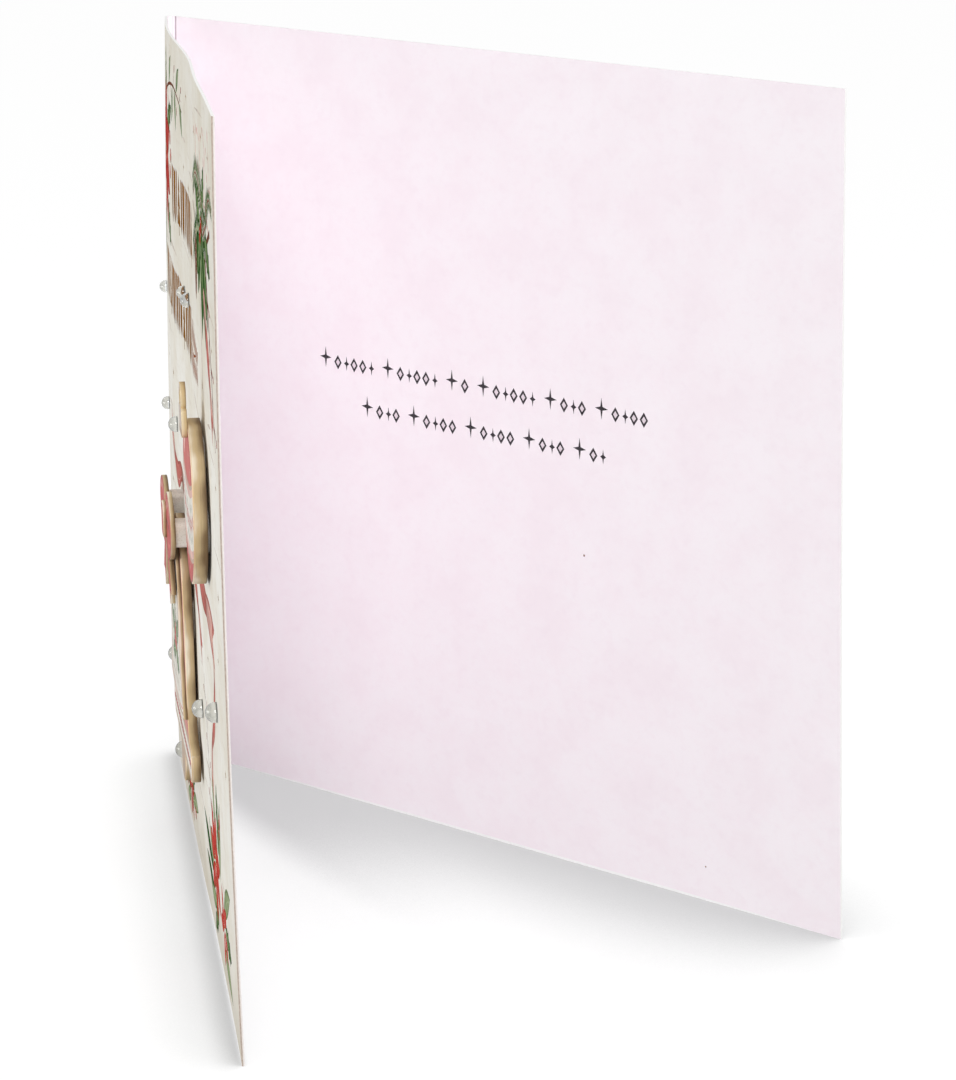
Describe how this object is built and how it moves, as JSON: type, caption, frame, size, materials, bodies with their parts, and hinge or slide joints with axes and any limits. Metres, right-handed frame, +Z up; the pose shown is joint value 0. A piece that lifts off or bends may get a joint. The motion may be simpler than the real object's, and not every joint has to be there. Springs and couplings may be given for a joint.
{
  "type": "christmas card",
  "caption": "Folded greeting card standing open on its lower edges, with raised die-cut bell, bow and bauble on foam pads and small domed gems on its cover.",
  "frame": {"origin": "on the foot of the sheet, in the middle of its thickness, where the front cover leaves the fold", "axes": "+X along the foot of the cover, from the fold to its free edge; +Y from the cover's printed outside, through it, to the side where the back panel opens; +Z up"},
  "size_m": [0.1584, 0.1167, 0.15],
  "materials": {
    "folded_sheet": "uncoated white card stock, printed on both sides",
    "raised_board": "laminated tan board with a printed front",
    "gold_board": "gold foil over board",
    "foam": "white adhesive foam",
    "clear_gem": "clear, polished"
  },
  "bodies": {
    "root": {"card": "folded_sheet", "bell": "raised_board", "bell_panel": "raised_board", "bow": "raised_board", "bow_knot": "raised_board", "bauble": "raised_board", "bauble_cap": "gold_board", "bell_foam_pads": "foam", "bow_foam_pads": "foam", "bauble_foam_pads": "foam", "gem_1": "clear_gem", "gem_2": "clear_gem", "gem_3": "clear_gem", "gem_4": "clear_gem", "gem_5": "clear_gem", "gem_6": "clear_gem", "gem_7": "clear_gem", "gem_8": "clear_gem", "gem_9": "clear_gem"}
  },
  "joints": []
}
